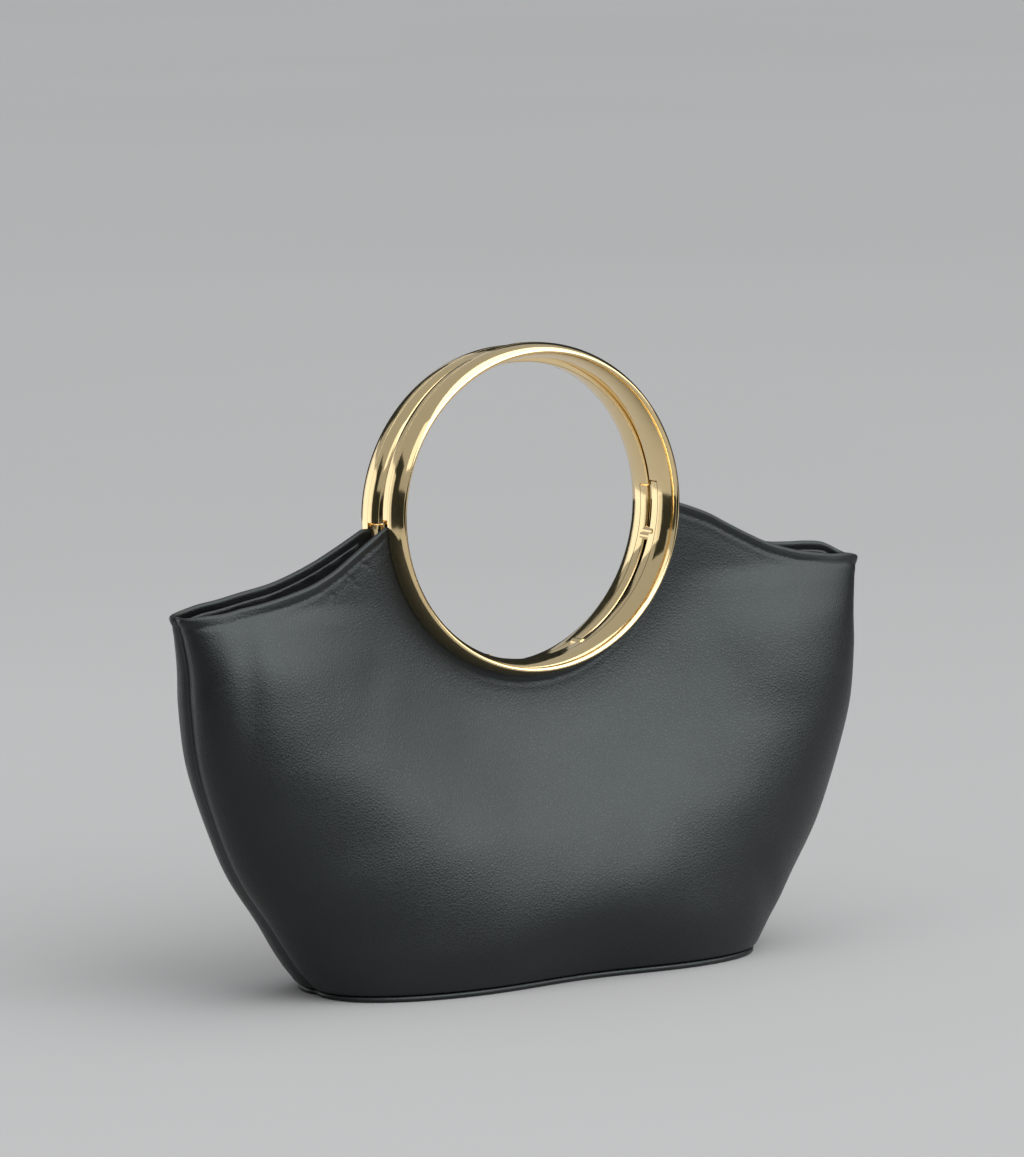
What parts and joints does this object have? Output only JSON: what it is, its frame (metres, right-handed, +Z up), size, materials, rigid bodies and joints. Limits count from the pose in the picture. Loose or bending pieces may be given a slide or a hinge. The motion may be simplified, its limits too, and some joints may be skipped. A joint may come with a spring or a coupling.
{
  "type": "ring handle bag",
  "caption": "Small leather handbag with a metal ring handle clamped to each panel, a swelling body, side seams and a flat base.",
  "frame": {"origin": "on the floor, under the middle of the bag's bounding box", "axes": "+X to the right seen from the front, -Y to the front, +Z up"},
  "size_m": [0.2899, 0.0805, 0.2319],
  "materials": {
    "leather": "satin, fine grain",
    "facing_leather": "glossy",
    "gold": "polished",
    "screw_metal": "polished"
  },
  "bodies": {
    "root": {"front_panel": "leather", "back_panel": "leather", "base_panel": "leather", "front_left_facing": "facing_leather", "front_right_facing": "facing_leather", "back_left_facing": "facing_leather", "back_right_facing": "facing_leather", "front_ring": "gold", "back_ring": "gold", "front_clamp": "gold", "back_clamp": "gold", "front_screw_1": "screw_metal", "front_screw_2": "screw_metal", "front_screw_3": "screw_metal", "front_screw_4": "screw_metal", "back_screw_1": "screw_metal", "back_screw_2": "screw_metal", "back_screw_3": "screw_metal", "back_screw_4": "screw_metal"}
  },
  "joints": []
}
